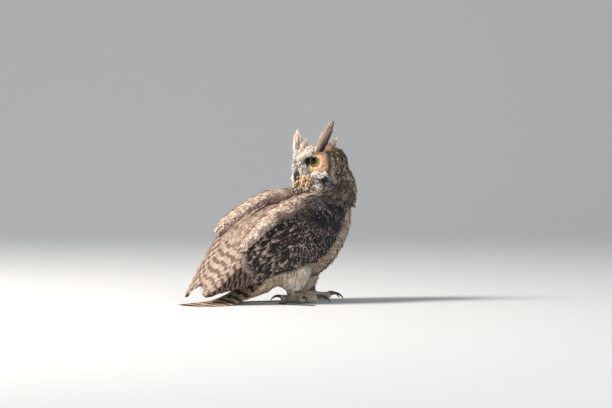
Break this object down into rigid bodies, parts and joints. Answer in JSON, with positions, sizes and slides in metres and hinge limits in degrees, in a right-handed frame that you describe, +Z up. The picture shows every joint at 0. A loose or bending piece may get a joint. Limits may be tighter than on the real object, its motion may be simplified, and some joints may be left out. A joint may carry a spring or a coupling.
{
  "type": "great horned owl",
  "caption": "Life-size great horned owl standing with folded wings and its head turned right round to look back over its tail, with leather anklets and jesses.",
  "frame": {"origin": "on the floor, under the middle of the bird's bounding box", "axes": "+X the way the breast faces, +Y the bird's left side, +Z up"},
  "size_m": [0.438, 0.2564, 0.3846],
  "materials": {
    "mottled_feather": "soft matt feather, mottled grey, buff and brown",
    "barred_feather": "smooth matt flight feather with dark bars",
    "breast_feather": "soft matt feather, buff with fine dark bars",
    "face_feather": "short soft feather, orange buff and white",
    "leg_feather": "downy feather, buff white with faint bars",
    "horn": "black horn with a soft shine",
    "eye": "wet yellow eye with a black pupil",
    "leather": "worn brown leather"
  },
  "bodies": {
    "root": {"neck": "mottled_feather", "scapulars_left": "mottled_feather", "scapulars_right": "mottled_feather", "wing_left_coverts": "mottled_feather", "wing_right_coverts": "mottled_feather", "wing_left_secondaries": "barred_feather", "wing_left_primaries": "barred_feather", "wing_right_secondaries": "barred_feather", "wing_right_primaries": "barred_feather", "tail": "barred_feather", "trunk": "breast_feather", "head": "face_feather", "ear_tuft_left": "face_feather", "ear_tuft_right": "face_feather", "vent": "leg_feather", "thigh_left": "leg_feather", "thigh_right": "leg_feather", "foot_left": "leg_feather", "foot_right": "leg_feather", "bill_upper": "horn", "bill_lower": "horn", "claw_left_inner": "horn", "claw_left_middle": "horn", "claw_left_outer": "horn", "claw_left_hind": "horn", "claw_right_inner": "horn", "claw_right_middle": "horn", "claw_right_outer": "horn", "claw_right_hind": "horn", "eye_left": "eye", "eye_right": "eye", "cuff_left": "leather", "cuff_right": "leather", "strap_left": "leather", "strap_right": "leather"}
  },
  "joints": []
}
